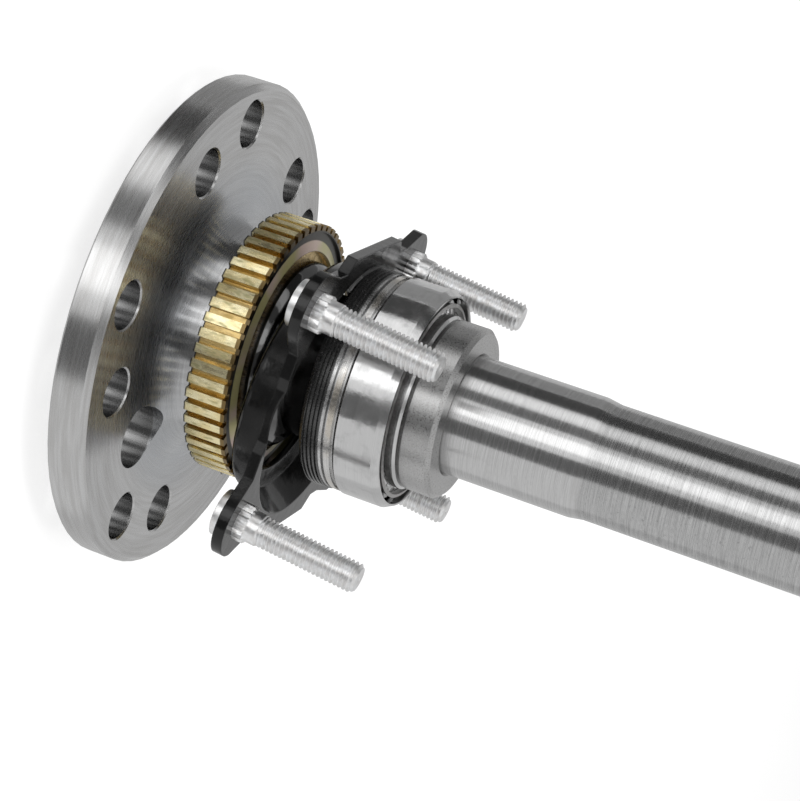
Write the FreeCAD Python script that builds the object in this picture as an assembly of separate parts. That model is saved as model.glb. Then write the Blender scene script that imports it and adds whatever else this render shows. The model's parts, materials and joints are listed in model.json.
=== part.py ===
import FreeCAD, Part
import math
import os

# Rear axle shaft with its wheel flange, tone ring, retainer plate, seal and wheel bearing.
# Millimetres. The shaft stands on its flange end: Z is the shaft's axis, z = 0 is the
# outboard face of the flange, and +Z runs inboard to the splined end.

# Flange
flange_radius = 82.55
flange_thickness = 12.7
flange_rim_chamfer = 2.0
flange_back_chamfer = 0.8
pilot_radius = 35.7
pilot_height = 9.5
pilot_chamfer = 2.0
pilot_dish_radius = 27.0
pilot_dish_depth = 4.0
centre_hole_radius = 6.0
centre_hole_depth = 9.0

# Wheel bolt holes in two five-hole circles, and the round hole for a socket
bolt_count = 5
bolt_hole_radius = 7.94
bolt_hole_chamfer = 0.5
wide_circle_radius = 69.85
wide_circle_azimuth = 55.99
narrow_circle_radius = 63.5
narrow_circle_azimuth = 9.07
access_hole_radius = 10.62
access_hole_distance = 49.91
access_hole_azimuth = -35.2

# Hub between the flange and the seal
hub_flare_start_radius = 49.05
hub_flare_radius = 15.2
ring_seat_radius = 31.6
ring_back_z = 26.5
hub_nose_z = 42.2
hub_nose_radius = 28.9
hub_nose_end_z = 46.2
hub_fillet_end_z = 51.0
hub_nose_bulge = 0.675
hub_fillet_sag = 1.316

# Journals and the long body
seal_journal_radius = 24.2
bearing_journal_radius = 19.84
bearing_journal_end_z = 147.0
journal_taper_length = 5.0
body_radius = 19.05
shaft_end_z = 812.8
end_chamfer = 2.0

# Spline
spline_count = 35
spline_length = 95.0
spline_depth = 1.15
spline_runout = 8.0
spline_root_share = 0.77
spline_tip_share = 0.425

# Tone ring
tooth_count = 54
tooth_tip_radius = 43.8
tooth_depth = 2.0
tooth_land_share = 0.58
tooth_root_land_share = 0.66
tone_ring_width = 14.3
tone_face_step = 0.9
tone_cone_outer_radius = 38.2
tone_cone_inner_radius = 34.85
tone_groove_depth = 1.2
tone_bead_radius = 0.5

# Retainer plate, in its own frame: u along the wide stud spacing, v along the narrow one,
# h along the studs, with h = 0 at the middle of the stud heads
stud_spacing_u = 84.14
stud_spacing_v = 73.03
plate_thickness = 3.6
plate_face_h = 6.4
plate_ear_radius = 12.3
plate_lobe_half_length = 20.0
plate_lobe_height = 50.0
plate_waist_v = 45.6
plate_waist_end_u = 30.0
plate_side_u = 44.5
plate_notch_depth = 1.2
plate_notch_half_width = 9.0
plate_notch_run = 4.0
cup_rim_radius = 44.2
cup_floor_radius = 38.5
cup_floor_rise = 1.1
cup_depth = 9.0
cup_back_radius = 36.4
cup_flare_angle = 22.0
cup_floor_thickness = 4.93
cup_edge_radius = 4.2
plate_bore_radius = 32.6
plate_bore_chamfer = 3.1
plate_tilt = 7.1
plate_lean_azimuth = 28.3
plate_turn = 108.0
plate_drop_azimuth = -28.0
plate_hang_depth = 5.9
seat_gap = 0.3

# Studs of the retainer plate
stud_radius = 5.0
stud_head_radius = 7.75
stud_head_thickness = 3.6
stud_head_edge = 0.4
stud_shoulder_radius = 5.9
stud_shoulder_end_h = 10.0
stud_neck_radius = 5.25
stud_neck_end_h = 14.0
stud_tip_h = 48.45
stud_tip_chamfer = 1.1
stud_centre_radius = 1.0
serration_count = 20
serration_height = 0.35
serration_root_share = 0.7
serration_tip_share = 0.2

# Tapered roller bearing
cup_outer_radius = 36.71
bearing_cup_z = 75.0
bearing_cup_width = 16.0
cup_nose_length = 2.5
cup_nose_drop = 1.3
cup_edge_chamfer = 0.8
cone_back_z = 93.2
cone_width = 19.8
roller_count = 20
pitch_radius = 28.6
pitch_z = 82.5
roller_axis_angle = 13.2
roller_mid_radius = 3.71
roller_length = 13.5
roller_edge_chamfer = 0.4
roller_dimple_radius = 1.1
roller_dimple_depth = 0.3
race_clearance = 0.06
rib_clearance = 0.1
cone_large_rib_radius = 29.2
cone_small_rib_radius = 24.5
cone_corner = 0.8
cage_thickness = 1.2
cage_offset = 1.0
cage_overhang = 2.0
cage_pocket_clearance = 0.15
cage_lip_drop = 1.8

# Seal and the ring beside it
seal_face_z = 63.2
seal_rubber_radius = 36.6
seal_rib_radius = 35.9
seal_rib_groove_width = 0.8
seal_rib_count = 4
seal_lead_chamfer = 1.2
seal_case_radius = 35.2
seal_case_thickness = 1.1
seal_flange_radius = 36.2
seal_flange_inner_radius = 30.5
seal_back_z = 71.0
seal_face_thickness = 1.0
seal_lip_clearance = 0.05
seal_lip_z = 66.4
seal_lip_back_radius = 26.6
seal_web_radius = 27.8
seal_web_taper = 1.0
seal_mouth_radius = 24.8
seal_lip_rise = 0.9
garter_groove_depth = 0.6
garter_wire_radius = 0.85
garter_gap = 0.1
garter_sides = 8
spacer_inner_radius = 31.2
spacer_radius = 35.3
spacer_band_radius = 36.3
spacer_band_margin = 1.0

# Retaining collar
collar_radius = 28.5
collar_length = 11.5
collar_chamfer = 1.4
collar_bore_chamfer = 0.8

# Sizes that follow from the ones above
Z_AXIS = FreeCAD.Vector(0, 0, 1)
ORIGIN = FreeCAD.Vector(0, 0, 0)
overcut = 1.0
ring_front_z = ring_back_z + tone_ring_width
cone_front_z = cone_back_z - cone_width
tilt = math.radians(plate_tilt)
axis_angle = math.radians(roller_axis_angle)
apex_distance = pitch_radius / math.sin(axis_angle)
plate_drop = plate_bore_radius - (ring_seat_radius - plate_hang_depth)
cup_floor_h = plate_face_h - cup_depth
cup_back_h = cup_floor_h - cup_floor_thickness


def save(name, shape):
    """Writes one sub-part as a STEP file."""
    shape.exportStep(os.path.join("parts", name + ".step"))


def point(radius, z):
    """A point of a turned profile."""
    return FreeCAD.Vector(radius, 0, z)


def polar(radius, angle, z=0.0):
    """A point at a radius and an angle in radians."""
    return FreeCAD.Vector(radius * math.cos(angle), radius * math.sin(angle), z)


def turned(steps):
    """Revolves a closed profile of (radius, z) points; a triple adds the middle of an arc."""
    edges = []
    last = point(*steps[0])
    for step in steps[1:] + steps[:1]:
        end = point(*step[-2:])
        if len(step) == 4:
            edges.append(Part.Arc(last, point(*step[:2]), end).toShape())
        else:
            edges.append(Part.LineSegment(last, end).toShape())
        last = end
    face = Part.Face(Part.Wire(edges))
    return face.revolve(ORIGIN, Z_AXIS, 360)


def toothed_face(count, root, tip, root_share, tip_share):
    """A face with evenly spaced teeth; the shares are the tooth's part of one pitch."""
    pitch = 2 * math.pi / count
    edges = []
    for index in range(count):
        middle = index * pitch
        low = polar(root, middle - root_share * pitch / 2)
        tip_low = polar(tip, middle - tip_share * pitch / 2)
        tip_high = polar(tip, middle + tip_share * pitch / 2)
        high = polar(root, middle + root_share * pitch / 2)
        following = polar(root, middle + (1 - root_share / 2) * pitch)
        edges.append(Part.LineSegment(low, tip_low).toShape())
        edges.append(Part.Arc(tip_low, polar(tip, middle), tip_high).toShape())
        edges.append(Part.LineSegment(tip_high, high).toShape())
        edges.append(Part.Arc(high, polar(root, middle + pitch / 2), following).toShape())
    return Part.Face(Part.Wire(edges))


def extruded(face, z_low, z_high):
    """Lifts a flat face at z = 0 to a solid between two heights."""
    solid = face.extrude(FreeCAD.Vector(0, 0, z_high - z_low))
    solid.translate(FreeCAD.Vector(0, 0, z_low))
    return solid


def chamfered_hole(radius, chamfer):
    """A cutter for a hole through the flange, with both edges broken."""
    wide = radius + chamfer + overcut
    low = -overcut
    high = flange_thickness + overcut
    return turned([(0, low), (wide, low), (radius, chamfer), (radius, high - overcut - chamfer),
                   (wide, high), (0, high)])


def flare_curve():
    """The hub's concave flare from the flange's back face to the ring's shoulder."""
    centre_r = hub_flare_start_radius
    centre_z = flange_thickness + hub_flare_radius
    end_z = ring_back_z
    end_r = centre_r - math.sqrt(hub_flare_radius ** 2 - (centre_z - end_z) ** 2)
    turn = math.acos((centre_z - end_z) / hub_flare_radius) / 2
    middle_r = centre_r - hub_flare_radius * math.sin(turn)
    middle_z = centre_z - hub_flare_radius * math.cos(turn)
    return (middle_r, middle_z, end_r, end_z)


def nose_curve():
    """The hub's convex nose inboard of the tone ring."""
    middle_r = (ring_seat_radius + hub_nose_radius) / 2 + hub_nose_bulge
    middle_z = (hub_nose_z + hub_nose_end_z) / 2
    return (middle_r, middle_z, hub_nose_radius, hub_nose_end_z)


def nose_fillet():
    """The hub's concave fillet down to the seal journal."""
    middle_r = (hub_nose_radius + seal_journal_radius) / 2 - hub_fillet_sag
    middle_z = (hub_nose_end_z + hub_fillet_end_z) / 2
    return (middle_r, middle_z, seal_journal_radius, hub_fillet_end_z)


def shaft_blank():
    """The forged and turned shaft with its flange, before holes and spline."""
    spline_z = shaft_end_z - spline_length
    root = body_radius - spline_depth
    return turned([
        (0, centre_hole_depth - pilot_height),
        (centre_hole_radius, pilot_dish_depth - pilot_height),
        (pilot_dish_radius, pilot_dish_depth - pilot_height),
        (pilot_dish_radius + pilot_dish_depth, -pilot_height),
        (pilot_radius - pilot_chamfer, -pilot_height),
        (pilot_radius, pilot_chamfer - pilot_height),
        (pilot_radius, 0),
        (flange_radius - flange_back_chamfer, 0),
        (flange_radius, flange_back_chamfer),
        (flange_radius, flange_thickness - flange_rim_chamfer),
        (flange_radius - flange_rim_chamfer, flange_thickness),
        (hub_flare_start_radius, flange_thickness),
        flare_curve(),
        (ring_seat_radius, ring_back_z),
        (ring_seat_radius, hub_nose_z),
        nose_curve(),
        nose_fillet(),
        (seal_journal_radius, cone_front_z),
        (bearing_journal_radius, cone_front_z),
        (bearing_journal_radius, bearing_journal_end_z),
        (body_radius, bearing_journal_end_z + journal_taper_length),
        (body_radius, spline_z),
        (root, spline_z + spline_runout),
        (root, shaft_end_z - end_chamfer),
        (root - end_chamfer, shaft_end_z),
        (centre_hole_radius, shaft_end_z),
        (0, shaft_end_z - centre_hole_depth),
    ])


def spline_teeth():
    """The splined length, with the teeth chamfered at the shaft's end."""
    root = body_radius - spline_depth
    face = toothed_face(spline_count, root, body_radius, spline_root_share, spline_tip_share)
    teeth = extruded(face, shaft_end_z - spline_length, shaft_end_z)
    envelope = turned([
        (root - end_chamfer, shaft_end_z - spline_length),
        (body_radius, shaft_end_z - spline_length),
        (body_radius, shaft_end_z - end_chamfer - spline_depth),
        (root - end_chamfer, shaft_end_z),
    ])
    return teeth.common(envelope)


def axle_shaft():
    """The shaft, flange, hub and spline: one forging."""
    shaft = shaft_blank().fuse(spline_teeth())
    cutters = []
    circles = ((wide_circle_radius, wide_circle_azimuth),
               (narrow_circle_radius, narrow_circle_azimuth))
    for circle_radius, first in circles:
        for index in range(bolt_count):
            hole = chamfered_hole(bolt_hole_radius, bolt_hole_chamfer)
            angle = math.radians(first + index * 360 / bolt_count)
            hole.translate(polar(circle_radius, angle))
            cutters.append(hole)
    access = Part.makeCylinder(access_hole_radius, ring_back_z + overcut, point(0, -overcut), Z_AXIS)
    access.translate(polar(access_hole_distance, math.radians(access_hole_azimuth)))
    cutters.append(access)
    return shaft.cut(cutters)


def tone_ring():
    """The toothed wheel-speed ring, pressed on the hub against its shoulder."""
    root = tooth_tip_radius - tooth_depth
    teeth = toothed_face(tooth_count, root, tooth_tip_radius, tooth_root_land_share,
                         tooth_land_share)
    rim = extruded(teeth, ring_back_z, ring_front_z)
    face_z = ring_front_z - tone_face_step
    bevel = tone_cone_outer_radius
    front = turned([
        (ring_seat_radius - overcut, ring_front_z + overcut),
        (ring_seat_radius - overcut, face_z - tone_groove_depth),
        (tone_cone_inner_radius, face_z - tone_groove_depth),
        (tone_cone_inner_radius, ring_front_z),
        (bevel, face_z),
        (root - tone_bead_radius, face_z),
        (root - tone_bead_radius, ring_front_z + overcut),
    ])
    bore = Part.makeCylinder(ring_seat_radius, tone_ring_width + 2 * overcut,
                             point(0, ring_back_z - overcut), Z_AXIS)
    return rim.cut([front, bore])


def plate_outline():
    """A quarter of the plate's outline in u and v: lobe, ear (an arc from 90 to -45 degrees)
    and notched side; and the point where it starts."""
    half_u = stud_spacing_u / 2
    half_v = stud_spacing_v / 2
    diagonal = plate_ear_radius * math.sqrt(0.5)
    lobe_drop = plate_lobe_height - plate_waist_v
    side_v = half_v - diagonal - (half_u + diagonal - plate_side_u)
    ear_middle = math.radians((90 - 45) / 2)
    quarter = [
        ("line", (plate_lobe_half_length + lobe_drop, plate_waist_v)),
        ("line", (plate_waist_end_u, plate_waist_v)),
        ("line", (half_u, half_v + plate_ear_radius)),
        ("arc", (half_u + plate_ear_radius * math.cos(ear_middle),
                 half_v + plate_ear_radius * math.sin(ear_middle)),
         (half_u + diagonal, half_v - diagonal)),
        ("line", (plate_side_u, side_v)),
        ("line", (plate_side_u, plate_notch_half_width + plate_notch_run)),
        ("line", (plate_side_u - plate_notch_depth, plate_notch_half_width)),
    ]
    start = (plate_lobe_half_length, plate_lobe_height)
    return quarter, start


def mirrored(pair, sign_u, sign_v):
    """A point of the plate's outline, in one of its four quarters."""
    return FreeCAD.Vector(sign_u * pair[0], sign_v * pair[1], 0)


def plate_face():
    """The outline as a face at h = 0, mirrored from one quarter."""
    quarter, start = plate_outline()
    edges = []
    for sign_u, sign_v in ((1, 1), (-1, 1), (1, -1), (-1, -1)):
        last = mirrored(start, sign_u, sign_v)
        for entry in quarter:
            end = mirrored(entry[-1], sign_u, sign_v)
            if entry[0] == "arc":
                middle = mirrored(entry[1], sign_u, sign_v)
                edges.append(Part.Arc(last, middle, end).toShape())
            else:
                edges.append(Part.LineSegment(last, end).toShape())
            last = end
    notch = quarter[-1][-1]
    for sign in (1, -1):
        edges.append(Part.LineSegment(mirrored(start, -1, sign), mirrored(start, 1, sign)).toShape())
        edges.append(Part.LineSegment(mirrored(notch, sign, -1), mirrored(notch, sign, 1)).toShape())
    return Part.Face(Part.Wire(Part.sortEdges(edges)[0]))


def stud_places():
    """The four stud centres in u and v."""
    return [(sign_u * stud_spacing_u / 2, sign_v * stud_spacing_v / 2)
            for sign_u in (-1, 1) for sign_v in (1, -1)]


def seated(shape):
    """Moves a shape from the plate's frame to where the plate hangs on the hub."""
    height = (ring_front_z + seat_gap + cup_edge_radius
              - (cup_back_h + cup_edge_radius) * math.cos(tilt)
              + cup_back_radius * math.sin(tilt))
    turn = FreeCAD.Rotation(Z_AXIS, plate_turn)
    lean_axis = polar(1, math.radians(plate_lean_azimuth + 90))
    rotation = FreeCAD.Rotation(lean_axis, plate_tilt).multiply(turn)
    place = polar(plate_drop, math.radians(plate_drop_azimuth), height)
    moved = shape.copy()
    moved.Placement = FreeCAD.Placement(place, rotation).multiply(shape.Placement)
    return moved


def retainer_plate():
    """The dished plate that clamps the bearing into the housing."""
    face = plate_face()
    ears = extruded(face, plate_face_h - plate_thickness, plate_face_h)
    flare = math.radians(cup_flare_angle)
    bend = (math.pi / 2 - flare) / 2
    wall_low = cup_back_h + cup_edge_radius * (1 - math.sin(flare))
    wall_radius = cup_back_radius + cup_edge_radius * math.cos(flare)
    cup = turned([
        (0, cup_back_h),
        (cup_back_radius, cup_back_h),
        (cup_back_radius + cup_edge_radius * math.sin(bend),
         cup_back_h + cup_edge_radius * (1 - math.cos(bend)), wall_radius, wall_low),
        (wall_radius + (plate_face_h - wall_low) * math.tan(flare), plate_face_h),
        (0, plate_face_h),
    ])
    body = extruded(face, cup_back_h, plate_face_h).common(cup).fuse(ears)
    rim_slope = ((cup_rim_radius - cup_floor_radius)
                 / (plate_face_h - cup_floor_h - cup_floor_rise))
    cavity = turned([
        (0, cup_floor_h), (plate_bore_radius, cup_floor_h),
        (cup_floor_radius, cup_floor_h + cup_floor_rise),
        (cup_rim_radius + rim_slope * overcut, plate_face_h + overcut),
        (0, plate_face_h + overcut),
    ])
    bore = turned([
        (0, cup_back_h - overcut),
        (plate_bore_radius + plate_bore_chamfer + overcut, cup_back_h - overcut),
        (plate_bore_radius, cup_back_h + plate_bore_chamfer),
        (plate_bore_radius, cup_floor_h + overcut),
        (0, cup_floor_h + overcut),
    ])
    cutters = [cavity, bore]
    for u, v in stud_places():
        cutters.append(Part.makeCylinder(stud_shoulder_radius, plate_thickness + 2 * overcut,
                                         FreeCAD.Vector(u, v, plate_face_h - plate_thickness
                                                        - overcut), Z_AXIS))
    return seated(body.cut(cutters).removeSplitter())


def retainer_stud(u, v):
    """A pressed-in stud: head, shoulder in the plate, serrations, neck and threaded length."""
    head_top = plate_face_h - plate_thickness
    head_low = head_top - stud_head_thickness
    body = turned([
        (0, head_low),
        (stud_head_radius - stud_head_edge, head_low),
        (stud_head_radius, head_low + stud_head_edge),
        (stud_head_radius, head_top),
        (stud_shoulder_radius, head_top),
        (stud_shoulder_radius, stud_shoulder_end_h),
        (stud_neck_radius, stud_shoulder_end_h + stud_shoulder_radius - stud_neck_radius),
        (stud_neck_radius, stud_neck_end_h),
        (stud_radius, stud_neck_end_h + stud_neck_radius - stud_radius),
        (stud_radius, stud_tip_h - stud_tip_chamfer),
        (stud_radius - stud_tip_chamfer, stud_tip_h),
        (stud_centre_radius, stud_tip_h),
        (0, stud_tip_h - stud_centre_radius),
    ])
    ribs = toothed_face(serration_count, stud_shoulder_radius - serration_height,
                        stud_shoulder_radius + serration_height,
                        serration_root_share, serration_tip_share)
    stud = body.fuse(extruded(ribs, plate_face_h, stud_shoulder_end_h))
    stud.translate(FreeCAD.Vector(u, v, 0))
    return seated(stud)


def along_roller(distance, offset):
    """(radius, z) of a point beside the roller axis: distance along it, offset outwards."""
    radius = pitch_radius + distance * math.sin(axis_angle) + offset * math.cos(axis_angle)
    z = pitch_z + distance * math.cos(axis_angle) - offset * math.sin(axis_angle)
    return (radius, z)


def roller_radius_at(distance):
    """The roller's own radius at a distance along its axis from its middle."""
    return roller_mid_radius * (1 + distance / apex_distance)


def race_point(distance, side):
    """A point of the cup's (+1) or the cone's (-1) raceway."""
    return along_roller(distance, side * (roller_radius_at(distance) + race_clearance))


def race_radius_at(z, side):
    """The raceway's radius at a height."""
    low_r, low_z = race_point(-roller_length / 2, side)
    high_r, high_z = race_point(roller_length / 2, side)
    return low_r + (high_r - low_r) * (z - low_z) / (high_z - low_z)


def bearing_cup():
    """The outer race, thin at its inboard end."""
    top = bearing_cup_z + bearing_cup_width
    return turned([
        (race_radius_at(bearing_cup_z, 1), bearing_cup_z),
        (cup_outer_radius - cup_edge_chamfer, bearing_cup_z),
        (cup_outer_radius, bearing_cup_z + cup_edge_chamfer),
        (cup_outer_radius, top - cup_nose_length),
        (cup_outer_radius - cup_nose_drop, top),
        (race_radius_at(top, 1), top),
    ])


def bearing_cone():
    """The inner race with its two ribs, pressed on the journal against the hub's step."""
    half = roller_length / 2 + rib_clearance
    small_foot = race_point(-half, -1)
    large_foot = race_point(half, -1)
    rib_lean = math.tan(axis_angle)
    large_top_z = large_foot[1] - (cone_large_rib_radius - large_foot[0]) * rib_lean
    small_top_z = small_foot[1] - (cone_small_rib_radius - small_foot[0]) * rib_lean
    return turned([
        (bearing_journal_radius, cone_front_z),
        (cone_small_rib_radius - cone_corner, cone_front_z),
        (cone_small_rib_radius, cone_front_z + cone_corner),
        (cone_small_rib_radius, small_top_z),
        small_foot,
        large_foot,
        (cone_large_rib_radius, large_top_z),
        (cone_large_rib_radius, cone_back_z - cone_corner),
        (cone_large_rib_radius - cone_corner, cone_back_z),
        (bearing_journal_radius, cone_back_z),
    ])


def roller(clearance, dimple):
    """One tapered roller at azimuth zero, grown by a clearance for the cage's pockets."""
    half = roller_length / 2 + clearance
    low = roller_radius_at(-half) + clearance
    high = roller_radius_at(half) + clearance
    edge = roller_edge_chamfer
    steps = [(0, -half), (low - edge, -half), (low, edge - half), (high, half - edge),
             (high - edge, half)]
    if dimple:
        steps += [(roller_dimple_radius, half), (0, half - roller_dimple_depth)]
    else:
        steps += [(0, half)]
    shape = turned(steps)
    rotation = FreeCAD.Rotation(FreeCAD.Vector(0, 1, 0), roller_axis_angle)
    shape.Placement = FreeCAD.Placement(point(pitch_radius, pitch_z), rotation)
    return shape


def around(shape, index):
    """Turns a shape to one of the roller places."""
    moved = shape.copy()
    moved.rotate(ORIGIN, Z_AXIS, index * 360 / roller_count)
    return moved


def bearing_cage():
    """The pressed cage: a conical band with a pocket for each roller and a turned-in lip."""
    half = roller_length / 2 + cage_overhang
    inner = cage_offset
    outer = cage_offset + cage_thickness
    lip = cage_offset - cage_lip_drop
    low_outer = along_roller(-half, outer)
    band = turned([
        along_roller(-half, lip),
        low_outer,
        along_roller(half, outer),
        along_roller(half, inner),
        along_roller(cage_thickness - half, inner),
        along_roller(cage_thickness - half, lip),
    ])
    pocket = roller(cage_pocket_clearance, False)
    return band.cut([around(pocket, index) for index in range(roller_count)])


def retaining_collar():
    """The press ring that keeps the bearing on its journal."""
    top = cone_back_z + collar_length
    return turned([
        (bearing_journal_radius + collar_bore_chamfer, cone_back_z),
        (collar_radius - collar_chamfer, cone_back_z),
        (collar_radius, cone_back_z + collar_chamfer),
        (collar_radius, top - collar_chamfer),
        (collar_radius - collar_chamfer, top),
        (bearing_journal_radius + collar_bore_chamfer, top),
        (bearing_journal_radius, top - collar_bore_chamfer),
        (bearing_journal_radius, cone_back_z + collar_bore_chamfer),
    ])


def seal_case():
    """The seal's stamped steel case: a sleeve in the rubber and a flange at its back."""
    inner = seal_case_radius - seal_case_thickness
    flange_z = seal_back_z - seal_case_thickness
    return turned([
        (inner, seal_face_z + seal_face_thickness),
        (seal_case_radius, seal_face_z + seal_face_thickness),
        (seal_case_radius, flange_z),
        (seal_flange_radius, flange_z),
        (seal_flange_radius, seal_back_z),
        (seal_flange_inner_radius, seal_back_z),
        (seal_flange_inner_radius, flange_z),
        (inner, flange_z),
    ])


def seal_rubber():
    """The ribbed rubber jacket, its face and the lip that runs on the journal."""
    back_z = seal_back_z - seal_case_thickness
    ribs_z = seal_face_z + seal_lead_chamfer
    pitch = (back_z - ribs_z) / seal_rib_count
    half = seal_rib_groove_width / 2
    outside = [(seal_rubber_radius - seal_lead_chamfer, seal_face_z),
               (seal_rubber_radius, seal_face_z + seal_lead_chamfer)]
    for index in range(seal_rib_count):
        groove_z = ribs_z + (index + 0.5) * pitch
        outside += [(seal_rubber_radius, groove_z - half), (seal_rib_radius, groove_z - half / 2),
                    (seal_rib_radius, groove_z + half / 2), (seal_rubber_radius, groove_z + half)]
    wall_z = seal_face_z + seal_face_thickness
    tip = seal_journal_radius + seal_lip_clearance
    lip_low = seal_lip_z - 2 * garter_wire_radius
    lip_high = seal_lip_z + 2 * garter_wire_radius
    groove_floor = seal_lip_back_radius - garter_groove_depth
    return turned(outside + [
        (seal_rubber_radius, back_z),
        (seal_case_radius, back_z),
        (seal_case_radius, wall_z),
        (seal_web_radius, wall_z),
        (seal_web_radius - seal_web_taper, lip_low),
        (groove_floor, lip_low),
        (groove_floor, seal_lip_z + garter_wire_radius),
        (seal_lip_back_radius, lip_high),
        (tip + seal_lip_rise, lip_high),
        (tip, seal_lip_z),
        (tip + seal_lip_rise, lip_low),
        (seal_mouth_radius, seal_face_z),
    ])


def garter_spring():
    """The spring ring that holds the seal's lip to the journal."""
    radius = seal_lip_back_radius - garter_groove_depth + garter_wire_radius + garter_gap
    steps = []
    for corner in range(garter_sides):
        angle = 2 * math.pi * (corner + 0.5) / garter_sides
        steps.append((radius + garter_wire_radius * math.cos(angle),
                      seal_lip_z + garter_wire_radius * math.sin(angle)))
    return turned(steps)


def spacer_ring():
    """The banded steel ring between the seal and the bearing cup."""
    low = seal_back_z + spacer_band_margin
    high = bearing_cup_z - spacer_band_margin
    return turned([
        (spacer_inner_radius, seal_back_z),
        (spacer_radius, seal_back_z),
        (spacer_radius, low),
        (spacer_band_radius, low),
        (spacer_band_radius, high),
        (spacer_radius, high),
        (spacer_radius, bearing_cup_z),
        (spacer_inner_radius, bearing_cup_z),
    ])


def main():
    """Writes every sub-part."""
    os.makedirs("parts", exist_ok=True)
    save("axle_shaft", axle_shaft())
    save("tone_ring", tone_ring())
    save("retainer_plate", retainer_plate())
    for index, (u, v) in enumerate(stud_places(), 1):
        save("retainer_stud_%d" % index, retainer_stud(u, v))
    save("seal_case", seal_case())
    save("seal_rubber", seal_rubber())
    save("garter_spring", garter_spring())
    save("spacer_ring", spacer_ring())
    save("bearing_cup", bearing_cup())
    save("bearing_cone", bearing_cone())
    save("bearing_cage", bearing_cage())
    one_roller = roller(0.0, True)
    for index in range(roller_count):
        save("bearing_roller_%02d" % (index + 1), around(one_roller, index))
    save("retaining_collar", retaining_collar())


main()
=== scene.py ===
import json
import math

import bmesh
import bpy
from mathutils import Matrix, Vector


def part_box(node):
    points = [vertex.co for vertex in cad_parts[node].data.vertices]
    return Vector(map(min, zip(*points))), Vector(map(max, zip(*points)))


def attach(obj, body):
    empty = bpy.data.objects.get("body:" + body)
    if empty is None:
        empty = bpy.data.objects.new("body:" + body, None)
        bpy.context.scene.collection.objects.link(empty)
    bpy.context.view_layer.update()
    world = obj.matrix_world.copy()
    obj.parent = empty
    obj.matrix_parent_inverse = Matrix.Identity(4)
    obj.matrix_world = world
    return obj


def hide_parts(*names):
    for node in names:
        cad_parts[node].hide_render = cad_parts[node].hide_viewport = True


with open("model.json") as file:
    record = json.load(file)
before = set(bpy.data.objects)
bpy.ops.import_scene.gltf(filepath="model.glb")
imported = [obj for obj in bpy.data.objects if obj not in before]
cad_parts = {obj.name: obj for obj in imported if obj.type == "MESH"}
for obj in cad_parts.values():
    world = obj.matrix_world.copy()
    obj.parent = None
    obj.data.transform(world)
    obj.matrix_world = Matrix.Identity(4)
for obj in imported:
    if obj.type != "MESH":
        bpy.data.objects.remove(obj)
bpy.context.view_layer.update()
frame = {"nodes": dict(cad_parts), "record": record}
nodes = frame["nodes"]

# Sizes in metres and angles in degrees, where nothing else is said
MM = 0.001
FLOOR_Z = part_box("axle_shaft")[0].z

# Camera, with its lens and sensor in millimetres
CAMERA_PLACE = (0.004947, -0.740831, 0.302988)
CAMERA_DIP = 16.8228
CAMERA_ROLL = 109.1516
CAMERA_LENS = 108.027
CAMERA_SENSOR = 36.0
CAMERA_SHIFT = (0.01584, 0.00484)

# Studio floor and background
FLOOR_SIZE = 12.0
FLOOR_GREY = 0.4
FLOOR_GLOW = 0.72
WORLD_FILL = 0.55

# Panels that only reflections see: name, azimuth of the middle, half the width in degrees, and
# level. Azimuths are round the shaft, 0 towards the camera and 90 towards +X.
PANEL_DISTANCE = 3.0
PANEL_HEIGHT = 30.0
PANEL_STEPS = 12
STUDIO_PANELS = (
    ("softbox_side", -61, 8, 1.3),
    ("softbox_front", -8, 10, 1.9),
    ("flag_rear_side", -122, 17, 0.34),
    ("flag_side", -89, 15, 0.08),
    ("flag_between", -38, 10, 0.2),
    ("flag_front", 28, 14, 0.17),
    ("backdrop_near", 80, 38, 0.8),
    ("backdrop_far", 169, 51, 0.62),
)

# Lamps: name, place, size and watts
LAMP_AIM = (0, 0, 0.1)
LAMPS = (
    ("key_lamp", (-1.3, -1.5, 1.7), 1.4, 26.0),
    ("fill_lamp", (1.4, -1.6, 0.9), 1.6, 14.0),
    ("top_lamp", (0.2, 0.6, 2.4), 1.6, 16.0),
)

# Where the shaft's finishes change, in millimetres: heights from the flange's outer face and
# radii, each as the start and end of the change or of the zone
HOLE_END_Z = (12.2, 12.6)
FLARE_START_Z = (12.0, 13.0)
FLANGE_FADE_Z = (13.5, 26.0)
NOSE_Z = (41.0, 74.0)
JOURNAL_Z = (104.0, 149.0)
BODY_START_Z = (149.0, 152.5)
FLARE_RADII = (36.0, 56.0)
RIM_RADII = (81.0, 81.4)

# The same for the tone ring and for the spacer ring
# The back face, which faces down onto the flange, is painted near black as shade
RING_SHADED_BACK_Z = (26.7, 27.2)
RING_FRONT_Z = (39.3, 39.6)
RING_BEVEL_RADII = (34.9, 38.3)
RING_FACE_RADII = (41.5, 42.1)
RING_ROOT_RADII = (41.9, 43.6)
SPACER_BAND_Z = (72.0, 74.0)
SPACER_FACE_Z = (71.4, 74.6)

# Colours that are not a plain grey
FLARE_TINT = (0.44, 0.455, 0.475, 1)
ZINC_DEEP = (0.78, 0.66, 0.36, 1)
ZINC_PALE = (0.88, 0.80, 0.52, 1)
ZINC_STREAK = (0.40, 0.37, 0.17, 1)
# Painted shade in the tone ring's tooth roots and lower flanks
ZINC_ROOT_SHADE = (0.46, 0.30, 0.09, 1)
ZINC_OLIVE = (0.50, 0.46, 0.22, 1)
ZINC_PINK = (0.62, 0.48, 0.42, 1)
# Painted shade on the tone ring's front under the plate: near black by and inside the bevel, dark
# brown on the teeth
FRONT_SHADE_BLACK = (0.045, 0.042, 0.035, 1)
FRONT_SHADE_BROWN = (0.20, 0.14, 0.06, 1)
BRASS = (0.62, 0.50, 0.32, 1)

# Shading
RING_DETAIL = 3.0
BEVEL_SAMPLES = 6
FACING_SHARE = (0.3, 0.6)
QUARTER_TURN = 0.25

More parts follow.
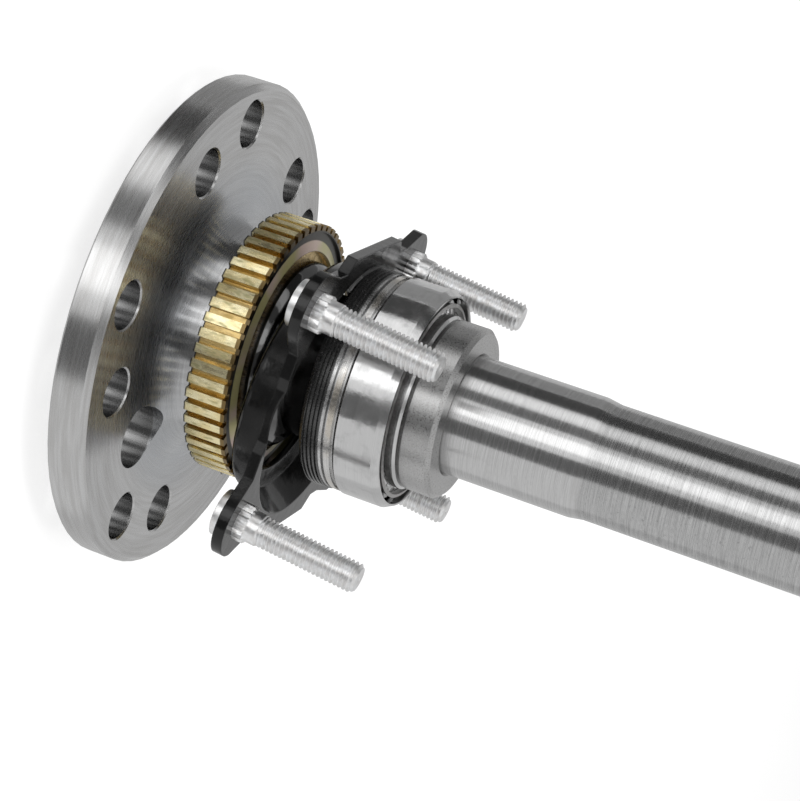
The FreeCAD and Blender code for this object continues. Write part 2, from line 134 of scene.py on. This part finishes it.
# Threaded studs of the retainer plate: heights along the stud towards its tip, from a point inside
# the head that is 0.8 mm above its outer face. The shares are of the head's radius and edge.
STUD_COUNT = 4
STUD_TIP = 48.45 * MM
STUD_HEAD_LOW = -0.8 * MM
STUD_HEAD_TOP = 2.8 * MM
STUD_HEAD_RADIUS = 7.75 * MM
STUD_HEAD_EDGE = 0.4 * MM
STUD_INNER_SHARE = 0.5
STUD_EDGE_SHARE = 0.3
STUD_SHOULDER_RADIUS = 5.9 * MM
STUD_SERRATION_LOW = 6.4 * MM
STUD_SHOULDER_END = 10.0 * MM
STUD_NECK_RADIUS = 5.25 * MM
STUD_NECK_END = 14.0 * MM
STUD_CENTRE_RADIUS = 1.0 * MM
STUD_TIP_CHAMFER = 1.1 * MM
SERRATION_COUNT = 20
SERRATION_HEIGHT = 0.35 * MM
SERRATION_END_SHARE = 0.2
TIP_TOLERANCE = 0.01 * MM

# Thread: each profile point is its share of the pitch and of the depth, 1 on the crest. The neck
# passes into the thread over THREAD_BLEND, a share of the run-out.
THREAD_RADIUS = 5.0 * MM
THREAD_PITCH = 1.5 * MM
THREAD_DEPTH = 0.92 * MM
THREAD_RUNOUT = 1.2 * MM
THREAD_BLEND = 0.3
THREAD_PROFILE = ((0.0, 1.0), (0.1, 1.0), (0.16, 0.92), (0.44, 0.08), (0.5, 0.0), (0.6, 0.0),
                  (0.66, 0.08), (0.94, 0.92))
COLUMNS = 80
WELD_DISTANCE = 0.002 * MM
SHARP_ANGLE = 40


class Shader:
    """Builds one procedural material, node by node, in millimetres of the object's own space."""

    def __init__(self, name):
        self.material = bpy.data.materials.new(name)
        self.material.use_nodes = True
        self.tree = self.material.node_tree
        self.tree.nodes.clear()
        output = self.tree.nodes.new("ShaderNodeOutputMaterial")
        self.surface = self.tree.nodes.new("ShaderNodeBsdfPrincipled")
        self.tree.links.new(self.surface.outputs[0], output.inputs[0])
        scaled = self.tree.nodes.new("ShaderNodeVectorMath")
        scaled.operation = "SCALE"
        self.put(self.tree.nodes.new("ShaderNodeTexCoord").outputs["Object"], scaled.inputs[0])
        self.put(1 / MM, scaled.inputs["Scale"])
        self.place = scaled.outputs[0]
        split = self.tree.nodes.new("ShaderNodeSeparateXYZ")
        self.put(self.place, split.inputs[0])
        self.x, self.y, self.z = split.outputs
        self.radius = self.math("SQRT", self.math("ADD", self.times(self.x, self.x),
                                                  self.times(self.y, self.y)))

    def put(self, value, socket):
        """Links a socket, or sets a plain value."""
        if isinstance(value, bpy.types.NodeSocket):
            self.tree.links.new(value, socket)
        else:
            socket.default_value = value

    def math(self, operation, first, second=0.0):
        """One step of arithmetic."""
        node = self.tree.nodes.new("ShaderNodeMath")
        node.operation = operation
        self.put(first, node.inputs[0])
        self.put(second, node.inputs[1])
        return node.outputs[0]

    def times(self, first, second):
        """The product of two numbers or shares."""
        return self.math("MULTIPLY", first, second)

    def inverse(self, share):
        """1 where a share is 0, and 0 where it is 1."""
        return self.math("SUBTRACT", 1.0, share)

    def combined(self, x, y, z):
        """A vector from its three parts."""
        node = self.tree.nodes.new("ShaderNodeCombineXYZ")
        for value, socket in zip((x, y, z), node.inputs):
            self.put(value, socket)
        return node.outputs[0]

    def noise(self, scale, detail, vector=None):
        """Cloudy noise, with a scale in waves per millimetre."""
        node = self.tree.nodes.new("ShaderNodeTexNoise")
        self.put(vector or self.place, node.inputs["Vector"])
        self.put(scale, node.inputs["Scale"])
        self.put(detail, node.inputs["Detail"])
        return node.outputs[0]

    def rings(self, scale, wander=0.05):
        """Noise drawn out round the shaft's axis, as a lathe tool leaves it."""
        node = self.tree.nodes.new("ShaderNodeTexNoise")
        node.noise_dimensions = "4D"
        across = self.times(self.x, wander)
        along = self.times(self.y, wander)
        radius = self.times(self.radius, scale)
        height = self.times(self.z, scale)
        self.put(self.combined(radius, height, across), node.inputs["Vector"])
        self.put(along, node.inputs["W"])
        self.put(1.0, node.inputs["Scale"])
        self.put(RING_DETAIL, node.inputs["Detail"])
        return node.outputs[0]

    def span(self, value, low, high, start=0.0, end=1.0):
        """Runs smoothly from start to end while value goes from low to high."""
        node = self.tree.nodes.new("ShaderNodeMapRange")
        node.interpolation_type = "SMOOTHSTEP"
        for number, socket in zip((value, low, high, start, end), node.inputs):
            self.put(number, socket)
        return node.outputs[0]

    def between(self, value, low, high, soft):
        """1 inside a range of value and 0 outside it, with soft edges."""
        rise = self.span(value, low - soft, low + soft)
        fall = self.span(value, high - soft, high + soft, 1.0, 0.0)
        return self.times(rise, fall)

    def blend(self, share, first, second):
        """Mixes two colours."""
        node = self.tree.nodes.new("ShaderNodeMix")
        node.data_type = "RGBA"
        self.put(share, node.inputs[0])
        self.put(first, node.inputs[6])
        self.put(second, node.inputs[7])
        return node.outputs[2]

    def shift(self, share, first, second):
        """Mixes two numbers."""
        node = self.tree.nodes.new("ShaderNodeMix")
        self.put(share, node.inputs[0])
        self.put(first, node.inputs[2])
        self.put(second, node.inputs[3])
        return node.outputs[0]

    def bump(self, height, depth, normal=None):
        """Relief from a 0 to 1 height, with a depth in millimetres."""
        node = self.tree.nodes.new("ShaderNodeBump")
        self.put(depth * MM, node.inputs["Distance"])
        self.put(height, node.inputs["Height"])
        if normal is not None:
            self.put(normal, node.inputs["Normal"])
        return node.outputs[0]

    def worn_edges(self, radius):
        """A normal that rounds sharp edges over, with a radius in millimetres."""
        node = self.tree.nodes.new("ShaderNodeBevel")
        node.samples = BEVEL_SAMPLES
        self.put(radius * MM, node.inputs["Radius"])
        return node.outputs[0]

    def across(self):
        """1 on surfaces that run along the shaft's axis, 0 on those that face along it."""
        facing = self.tree.nodes.new("ShaderNodeSeparateXYZ")
        self.put(self.tree.nodes.new("ShaderNodeTexCoord").outputs["Normal"], facing.inputs[0])
        return self.span(self.math("ABSOLUTE", facing.outputs[2]), *FACING_SHARE, 1.0, 0.0)

    def turned(self, amount):
        """Highlights drawn out across the grooves that run round the axis."""
        tangent = self.tree.nodes.new("ShaderNodeTangent")
        tangent.direction_type = "RADIAL"
        tangent.axis = "Z"
        self.put(tangent.outputs[0], self.surface.inputs["Tangent"])
        self.put(amount, self.surface.inputs["Anisotropic"])
        self.put(QUARTER_TURN, self.surface.inputs["Anisotropic Rotation"])

    def finish(self, colour, roughness, normal=None, metallic=1.0):
        """Fills in the surface and gives the material back."""
        self.put(colour, self.surface.inputs["Base Color"])
        self.put(roughness, self.surface.inputs["Roughness"])
        self.put(metallic, self.surface.inputs["Metallic"])
        if normal is not None:
            self.put(normal, self.surface.inputs["Normal"])
        return self.material


def grey(level, warmth=0.0):
    """A neutral metal colour; warmth moves it from blue to brown."""
    return (level * (1 + warmth), level, level * (1 - warmth), 1.0)


def shaft_steel():
    """Turned steel: satin flange, ground journal, coarser body, a nose by the seal painted near
    black as painted shade and painted reflection of the dark plate round it, and darker hole walls
    without lathe grooves."""
    s = Shader("shaft_steel")
    fine = s.rings(5.0, 0.08)
    coarse = s.rings(0.9, 0.05)
    cloud = s.noise(0.06, 4.0)
    on_flange = s.span(s.z, *FLANGE_FADE_Z, 1.0, 0.0)
    body = s.span(s.z, *BODY_START_Z)
    nose = s.between(s.z, *NOSE_Z, soft=0.6)
    journal = s.between(s.z, *JOURNAL_Z, soft=1.5)
    flare = s.times(s.between(s.radius, *FLARE_RADII, soft=6.0), s.span(s.z, *FLARE_START_Z))
    in_hole = s.times(s.across(), s.times(s.span(s.z, *HOLE_END_Z, 1.0, 0.0),
                                          s.span(s.radius, *RIM_RADII, 1.0, 0.0)))
    grooved = s.inverse(in_hole)
    colour = s.blend(s.span(coarse, 0.3, 0.7), grey(0.47, 0.01), grey(0.58))
    colour = s.blend(s.times(flare, s.span(cloud, 0.3, 0.6, 0.5, 0.8)), colour, FLARE_TINT)
    speck = s.times(s.span(s.noise(0.9, 5.0), 0.60, 0.72), 0.45)
    forged = s.blend(s.span(fine, 0.3, 0.7), grey(0.34), grey(0.56))
    colour = s.blend(body, colour, s.blend(speck, forged, grey(0.2)))
    ground = s.blend(s.span(fine, 0.3, 0.7), grey(0.46), grey(0.62))
    colour = s.blend(s.times(journal, 0.8), colour, ground)
    # Painted shade and painted reflection: the nose inside the plate and seal is near black
    colour = s.blend(s.times(nose, 0.95), colour, grey(0.1))
    colour = s.blend(in_hole, colour, grey(0.3))
    roughness = s.shift(on_flange, 0.22, 0.27)
    roughness = s.shift(body, roughness, 0.26)
    roughness = s.shift(nose, roughness, 0.12)
    roughness = s.math("ADD", roughness, s.span(fine, 0.2, 0.8, -0.05, 0.05))
    relief = s.bump(s.times(fine, grooved), 0.003)
    relief = s.bump(s.times(coarse, grooved), 0.008, normal=relief)
    s.turned(0.88)
    return s.finish(colour, roughness, relief)


def ring_zinc():
    """Yellow-passivated zinc: pale lands, tooth roots painted brown as shade, a front painted
    near black and dark brown as shade under the plate, with an olive and pink bevel, and a back
    painted near black as shade."""
    s = Shader("ring_zinc")
    cloud = s.noise(0.16, 5.0)
    drawn = s.combined(s.times(s.x, 0.8), s.times(s.y, 0.8), s.times(s.z, 0.25))
    streak = s.noise(1.0, 4.0, drawn)
    front = s.span(s.z, *RING_FRONT_Z)
    side = s.inverse(front)
    back = s.span(s.z, *RING_SHADED_BACK_Z, 1.0, 0.0)
    root = s.span(s.radius, *RING_ROOT_RADII, 1.0, 0.0)
    bevel = s.between(s.radius, *RING_BEVEL_RADII, soft=0.25)
    colour = s.blend(s.span(cloud, 0.35, 0.65), ZINC_DEEP, ZINC_PALE)
    colour = s.blend(s.times(s.span(streak, 0.5, 0.7), 0.7), colour, ZINC_STREAK)
    # Painted shade: the tooth roots and lower flanks are darkened to brown
    colour = s.blend(s.times(root, 0.8), colour, ZINC_ROOT_SHADE)
    wash = s.blend(s.span(s.noise(0.05, 2.0), 0.4, 0.6), ZINC_OLIVE, ZINC_PINK)
    # Painted shade: the front under the plate is near black, and dark brown on the teeth
    face = s.blend(s.span(s.radius, *RING_FACE_RADII), FRONT_SHADE_BLACK, FRONT_SHADE_BROWN)
    colour = s.blend(front, colour, s.blend(bevel, face, wash))
    # Painted shade: the back face over the flange is near black, so the flange mirrors it dark
    colour = s.blend(back, colour, grey(0.07))
    roughness = s.shift(front, s.span(streak, 0.3, 0.7, 0.2, 0.38), 0.28)
    relief = s.bump(s.times(streak, side), 0.03)
    relief = s.bump(s.times(s.noise(2.5, 3.0), side), 0.012, normal=relief)
    metallic = s.shift(s.times(front, bevel), 1.0, 0.55)
    return s.finish(colour, roughness, relief, metallic)


def plate_black():
    """Black oxide under oil: dark, glossy, a little uneven, with its edges worn round."""
    s = Shader("plate_black")
    cloud = s.noise(0.12, 4.0)
    grain = s.noise(1.6, 4.0)
    colour = s.blend(s.span(cloud, 0.35, 0.7), grey(0.004), grey(0.012, 0.02))
    roughness = s.span(grain, 0.3, 0.7, 0.08, 0.18)
    relief = s.bump(s.noise(0.22, 3.0), 0.1, normal=s.worn_edges(0.8))
    relief = s.bump(grain, 0.008, normal=relief)
    s.surface.inputs["Specular IOR Level"].default_value = 0.4
    return s.finish(colour, roughness, relief, 0.0)


def stud_zinc():
    """Bright zinc, slightly blotchy."""
    s = Shader("stud_zinc")
    cloud = s.noise(0.5, 5.0)
    colour = s.blend(s.span(cloud, 0.35, 0.7), grey(0.78, 0.01), grey(0.92, -0.01))
    roughness = s.span(s.noise(1.2, 4.0), 0.3, 0.7, 0.3, 0.44)
    relief = s.bump(s.noise(1.4, 4.0), 0.012)
    return s.finish(colour, roughness, relief)


def seal_steel():
    """Pressed steel with fine scuffs."""
    s = Shader("seal_steel")
    fine = s.rings(6.0)
    colour = s.blend(s.span(fine, 0.3, 0.7), grey(0.5), grey(0.66))
    roughness = s.span(s.noise(1.0, 4.0), 0.3, 0.7, 0.16, 0.34)
    return s.finish(colour, roughness, s.bump(fine, 0.01))


def seal_rubber():
    """Black nitrile with an oily shine and specks of dust."""
    s = Shader("seal_rubber")
    grain = s.noise(2.2, 4.0)
    dust = s.times(s.span(s.noise(1.5, 6.0), 0.64, 0.72), 0.5)
    colour = s.blend(dust, grey(0.018), grey(0.3))
    roughness = s.span(grain, 0.3, 0.7, 0.14, 0.32)
    relief = s.bump(grain, 0.04)
    s.surface.inputs["Specular IOR Level"].default_value = 1.0
    return s.finish(colour, roughness, relief, 0.0)


def spring_steel():
    """Drawn wire."""
    s = Shader("spring_steel")
    cloud = s.noise(1.2, 4.0)
    colour = s.blend(s.span(cloud, 0.3, 0.7), grey(0.42), grey(0.6))
    return s.finish(colour, s.span(cloud, 0.3, 0.7, 0.22, 0.36), s.bump(cloud, 0.01))


def band_steel():
    """Steel ring with a brassy cast on its band and dark, oily edges."""
    s = Shader("band_steel")
    fine = s.rings(6.0)
    band = s.between(s.z, *SPACER_BAND_Z, soft=0.12)
    edge = s.inverse(s.between(s.z, *SPACER_FACE_Z, soft=0.1))
    steel = s.blend(s.span(fine, 0.3, 0.7), grey(0.5), grey(0.66))
    brass = s.times(band, s.span(s.noise(0.08, 3.0), 0.4, 0.6, 0.05, 0.35))
    colour = s.blend(brass, steel, BRASS)
    colour = s.blend(s.times(edge, 0.7), colour, grey(0.08))
    roughness = s.span(s.noise(0.8, 4.0), 0.3, 0.7, 0.16, 0.3)
    return s.finish(colour, roughness, s.bump(fine, 0.012))


def bearing_steel():
    """Ground and polished bearing steel with faint handling marks."""
    s = Shader("bearing_steel")
    fine = s.rings(7.0, 0.06)
    smear = s.noise(0.22, 5.0)
    colour = s.blend(s.span(fine, 0.3, 0.7), grey(0.56), grey(0.62))
    colour = s.blend(s.times(s.span(smear, 0.5, 0.7), 0.3), colour, grey(0.42))
    roughness = s.span(smear, 0.3, 0.7, 0.1, 0.24)
    relief = s.bump(s.noise(0.7, 4.0), 0.02)
    relief = s.bump(fine, 0.004, normal=relief)
    s.turned(0.35)
    return s.finish(colour, roughness, relief)


def cage_steel():
    """Pressed cage steel, duller than the races."""
    s = Shader("cage_steel")
    cloud = s.noise(0.9, 4.0)
    colour = s.blend(s.span(cloud, 0.3, 0.7), grey(0.3, 0.02), grey(0.46, 0.01))
    return s.finish(colour, s.span(cloud, 0.3, 0.7, 0.28, 0.46), s.bump(cloud, 0.03))


def collar_steel():
    """Turned collar, matt and finely grained."""
    s = Shader("collar_steel")
    grain = s.noise(2.4, 4.0)
    coarse = s.rings(1.2)
    colour = s.blend(s.span(grain, 0.35, 0.65), grey(0.37, 0.01), grey(0.50))
    colour = s.blend(s.times(s.span(coarse, 0.5, 0.7), 0.25), colour, grey(0.28))
    roughness = s.span(grain, 0.3, 0.7, 0.26, 0.4)
    relief = s.bump(grain, 0.008)
    s.turned(0.4)
    return s.finish(colour, roughness, relief)


def dress(material, *names):
    """Gives CAD nodes a material in place of the plain one they come with."""
    for name in names:
        for slot in nodes[name].material_slots:
            slot.material = material


def mesh_object(name, bm):
    """Makes an object of the scene from a bmesh."""
    mesh = bpy.data.meshes.new(name)
    bm.to_mesh(mesh)
    bm.free()
    piece = bpy.data.objects.new(name, mesh)
    bpy.context.scene.collection.objects.link(piece)
    return piece


def stud_frame(node):
    """The rest matrix of a stud: Z along it, with its tip at STUD_TIP, and X along the plate's
    wide stud spacing, which runs from stud 1 to stud 3."""
    mounts = {mount["name"]: mount for mount in frame["record"]["mounts"]}
    axis = Vector(mounts["retainer_studs"]["axis"]).normalized()
    tips = []
    for name in ("retainer_stud_1", "retainer_stud_3", node):
        points = [vertex.co for vertex in nodes[name].data.vertices]
        top = max(co.dot(axis) for co in points)
        ring = [co for co in points if co.dot(axis) > top - TIP_TOLERANCE]
        tips.append(sum(ring, Vector()) / len(ring))
    side = (tips[1] - tips[0]).normalized()
    side = (side - axis * side.dot(axis)).normalized()
    turn = Matrix((side, axis.cross(side), axis)).transposed().to_4x4()
    return Matrix.Translation(tips[2] - axis * STUD_TIP) @ turn


def stud_rows():
    """The stud's turned part as rows of (height, radius, share of the serrations' depth)."""
    step = STUD_SHOULDER_RADIUS - STUD_NECK_RADIUS
    fade = SERRATION_HEIGHT
    edge = STUD_HEAD_EDGE * STUD_EDGE_SHARE
    return [
        (STUD_HEAD_LOW, STUD_HEAD_RADIUS * STUD_INNER_SHARE, 0),
        (STUD_HEAD_LOW, STUD_HEAD_RADIUS - STUD_HEAD_EDGE, 0),
        (STUD_HEAD_LOW + edge, STUD_HEAD_RADIUS - edge, 0),
        (STUD_HEAD_LOW + STUD_HEAD_EDGE, STUD_HEAD_RADIUS, 0),
        (STUD_HEAD_TOP, STUD_HEAD_RADIUS, 0),
        (STUD_HEAD_TOP, STUD_SHOULDER_RADIUS, 0),
        (STUD_SERRATION_LOW, STUD_SHOULDER_RADIUS, 0),
        (STUD_SERRATION_LOW, STUD_SHOULDER_RADIUS, 1),
        (STUD_SHOULDER_END - fade, STUD_SHOULDER_RADIUS, 1),
        (STUD_SHOULDER_END, STUD_SHOULDER_RADIUS - fade, SERRATION_END_SHARE),
        (STUD_SHOULDER_END + step, STUD_NECK_RADIUS, 0),
        (STUD_NECK_END - fade, STUD_NECK_RADIUS, 0),
        (STUD_NECK_END, STUD_NECK_RADIUS - fade, 0),
    ]


def thread_radius(height, depth_share):
    """Radius of the thread at a height; depth_share is 1 on the crest and 0 in the root."""
    climb = height - STUD_NECK_END
    depth = THREAD_DEPTH * min(1.0, max(0.0, climb / THREAD_RUNOUT))
    radius = THREAD_RADIUS - depth * (1 - depth_share)
    chamfer = THREAD_RADIUS - STUD_TIP_CHAMFER + (STUD_TIP - height)
    neck = STUD_NECK_RADIUS - SERRATION_HEIGHT
    blend = min(1.0, climb / (THREAD_BLEND * THREAD_RUNOUT))
    return min(radius * blend + neck * (1 - blend), chamfer)


def stud_point(bm, reach, column, height):
    """A vertex of the stud at one of its columns."""
    angle = 2 * math.pi * column / COLUMNS
    return bm.verts.new((reach * math.cos(angle), reach * math.sin(angle), height))


def turned_rings(bm):
    """Rings of vertices for the head, the serrated shoulder and the neck."""
    rings = []
    for height, radius, share in stud_rows():
        ring = []
        for column in range(COLUMNS):
            angle = 2 * math.pi * column / COLUMNS
            wave = math.cos(SERRATION_COUNT * angle) * SERRATION_HEIGHT * share
            ring.append(stud_point(bm, radius + wave, column, height))
        rings.append(ring)
    return rings


def thread_rings(bm):
    """Rings that climb by one pitch in a turn, one for each point of the profile. They start a
    turn below the neck's end and stop a turn above the tip, and are held between the two."""
    rings = []
    for turn in range(math.ceil((STUD_TIP - STUD_NECK_END) / THREAD_PITCH) + 2):
        for phase, share in THREAD_PROFILE:
            ring = []
            for column in range(COLUMNS):
                height = STUD_NECK_END + THREAD_PITCH * (turn - 1 + phase + column / COLUMNS)
                height = min(STUD_TIP, max(STUD_NECK_END, height))
                ring.append(stud_point(bm, thread_radius(height, share), column, height))
            rings.append(ring)
    return rings


def threaded_stud(number):
    """One stud with its rolled thread, standing for the plain CAD stud."""
    node = "retainer_stud_%d" % number
    bm = bmesh.new()
    rings = turned_rings(bm)
    thread = thread_rings(bm)
    for low, high in zip(rings, rings[1:] + thread[:1]):
        for column in range(COLUMNS):
            following = (column + 1) % COLUMNS
            bm.faces.new((low[column], low[following], high[following], high[column]))
    # The thread's last column meets the first one a turn further up
    per_turn = len(THREAD_PROFILE)
    last = len(thread) - 1
    for index in range(last):
        low, high = thread[index], thread[index + 1]
        for column in range(COLUMNS - 1):
            bm.faces.new((low[column], low[column + 1], high[column + 1], high[column]))
        if index + per_turn < last:
            seam_low, seam_high = thread[index + per_turn], thread[index + per_turn + 1]
            bm.faces.new((low[-1], seam_low[0], seam_high[0], high[-1]))
    rim = [stud_point(bm, STUD_CENTRE_RADIUS, column, STUD_TIP) for column in range(COLUMNS)]
    centre = bm.verts.new((0, 0, STUD_TIP - STUD_CENTRE_RADIUS))
    foot = bm.verts.new((0, 0, STUD_HEAD_LOW))
    for column in range(COLUMNS):
        following = (column + 1) % COLUMNS
        bm.faces.new((thread[-1][column], thread[-1][following], rim[following], rim[column]))
        bm.faces.new((rim[column], rim[following], centre))
        bm.faces.new((rings[0][following], rings[0][column], foot))
    bmesh.ops.remove_doubles(bm, verts=bm.verts, dist=WELD_DISTANCE)
    bmesh.ops.recalc_face_normals(bm, faces=bm.faces)
    piece = mesh_object("threaded_stud_%d" % number, bm)
    piece.data.transform(stud_frame(node))
    piece.data.shade_smooth()
    piece.data.set_sharp_from_angle(angle=math.radians(SHARP_ANGLE))
    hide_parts(node)
    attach(piece, "retainer")
    return piece


def make_camera():
    """The photo's camera: it looks a little down and is rolled, so that the shaft lies across
    the picture."""
    camera = bpy.data.objects.new("camera", bpy.data.cameras.new("camera"))
    bpy.context.scene.collection.objects.link(camera)
    tilt = Matrix.Rotation(math.radians(90 - CAMERA_DIP), 4, "X")
    roll = Matrix.Rotation(math.radians(CAMERA_ROLL), 4, "Z")
    camera.matrix_world = Matrix.Translation(CAMERA_PLACE) @ tilt @ roll
    camera.data.lens = CAMERA_LENS
    camera.data.sensor_width = CAMERA_SENSOR
    camera.data.shift_x, camera.data.shift_y = CAMERA_SHIFT
    bpy.context.scene.camera = camera


def seen_directly(tree):
    """1 for camera, glossy and transmission rays, which see the white background."""
    path = tree.nodes.new("ShaderNodeLightPath")
    total = path.outputs["Is Camera Ray"]
    for ray in ("Is Glossy Ray", "Is Transmission Ray"):
        node = tree.nodes.new("ShaderNodeMath")
        node.operation = "MAXIMUM"
        tree.links.new(total, node.inputs[0])
        tree.links.new(path.outputs[ray], node.inputs[1])
        total = node.outputs[0]
    return total


def make_world():
    """A white studio: white where it is seen or mirrored, softer as a light."""
    world = bpy.data.worlds.new("studio")
    bpy.context.scene.world = world
    world.use_nodes = True
    tree = world.node_tree
    tree.nodes.clear()
    background = tree.nodes.new("ShaderNodeBackground")
    output = tree.nodes.new("ShaderNodeOutputWorld")
    strength = tree.nodes.new("ShaderNodeMapRange")
    strength.inputs["To Min"].default_value = WORLD_FILL
    strength.inputs["To Max"].default_value = 1.0
    tree.links.new(seen_directly(tree), strength.inputs["Value"])
    tree.links.new(strength.outputs[0], background.inputs["Strength"])
    tree.links.new(background.outputs[0], output.inputs[0])
    background.inputs["Color"].default_value = (1, 1, 1, 1)
    world.cycles.sampling_method = "NONE"


def make_floor():
    """A plain pale floor that keeps the object's shadow and isn't mirrored in the metal."""
    bm = bmesh.new()
    bmesh.ops.create_grid(bm, x_segments=1, y_segments=1, size=FLOOR_SIZE / 2)
    floor = mesh_object("floor", bm)
    floor.location.z = FLOOR_Z
    material = bpy.data.materials.new("floor")
    material.use_nodes = True
    tree = material.node_tree
    surface = tree.nodes["Principled BSDF"]
    surface.inputs["Base Color"].default_value = (FLOOR_GREY, FLOOR_GREY, FLOOR_GREY, 1)
    surface.inputs["Roughness"].default_value = 1.0
    surface.inputs["Specular IOR Level"].default_value = 0.0
    surface.inputs["Emission Color"].default_value = (1, 1, 1, 1)
    glow = tree.nodes.new("ShaderNodeMath")
    glow.operation = "MULTIPLY"
    glow.inputs[1].default_value = FLOOR_GLOW
    tree.links.new(seen_directly(tree), glow.inputs[0])
    tree.links.new(glow.outputs[0], surface.inputs["Emission Strength"])
    floor.data.materials.append(material)
    floor.visible_glossy = False


def make_panel(name, azimuth, half_width, level):
    """A tall curved softbox or flag that only reflections see."""
    bm = bmesh.new()
    rows = []
    for step in range(PANEL_STEPS + 1):
        angle = math.radians(azimuth + half_width * (2 * step / PANEL_STEPS - 1))
        across = (PANEL_DISTANCE * math.sin(angle), -PANEL_DISTANCE * math.cos(angle))
        rows.append([bm.verts.new((*across, PANEL_HEIGHT * end)) for end in (-0.5, 0.5)])
    for low, high in zip(rows, rows[1:]):
        bm.faces.new((low[0], high[0], high[1], low[1]))
    panel = mesh_object(name, bm)
    material = bpy.data.materials.new(name)
    material.use_nodes = True
    tree = material.node_tree
    tree.nodes.clear()
    emission = tree.nodes.new("ShaderNodeEmission")
    emission.inputs["Strength"].default_value = level
    output = tree.nodes.new("ShaderNodeOutputMaterial")
    tree.links.new(emission.outputs[0], output.inputs[0])
    material.cycles.emission_sampling = "NONE"
    panel.data.materials.append(material)
    panel.visible_camera = False
    panel.visible_diffuse = False
    panel.visible_shadow = False


def make_lamp(name, place, size, power):
    """A square soft lamp, aimed at the flange end and left out of reflections."""
    lamp = bpy.data.lights.new(name, "AREA")
    lamp.shape = "SQUARE"
    lamp.size = size
    lamp.energy = power
    holder = bpy.data.objects.new(name, lamp)
    holder.location = place
    aim = Vector(LAMP_AIM) - Vector(place)
    holder.rotation_mode = "QUATERNION"
    holder.rotation_quaternion = aim.to_track_quat("-Z", "Y")
    holder.visible_glossy = False
    bpy.context.scene.collection.objects.link(holder)


make_camera()
make_world()
make_floor()
for panel in STUDIO_PANELS:
    make_panel(*panel)
for lamp in LAMPS:
    make_lamp(*lamp)

dress(shaft_steel(), "axle_shaft")
dress(ring_zinc(), "tone_ring")
dress(plate_black(), "retainer_plate")
dress(seal_steel(), "seal_case")
dress(seal_rubber(), "seal_rubber")
dress(spring_steel(), "garter_spring")
dress(band_steel(), "spacer_ring")
rollers = [name for name in nodes if name.startswith("bearing_roller_")]
dress(bearing_steel(), "bearing_cup", "bearing_cone", *rollers)
dress(cage_steel(), "bearing_cage")
dress(collar_steel(), "retaining_collar")
zinc = stud_zinc()
for number in range(1, STUD_COUNT + 1):
    dress(zinc, "retainer_stud_%d" % number)
    threaded_stud(number).data.materials.append(zinc)

bpy.context.scene.view_settings.view_transform = "Standard"
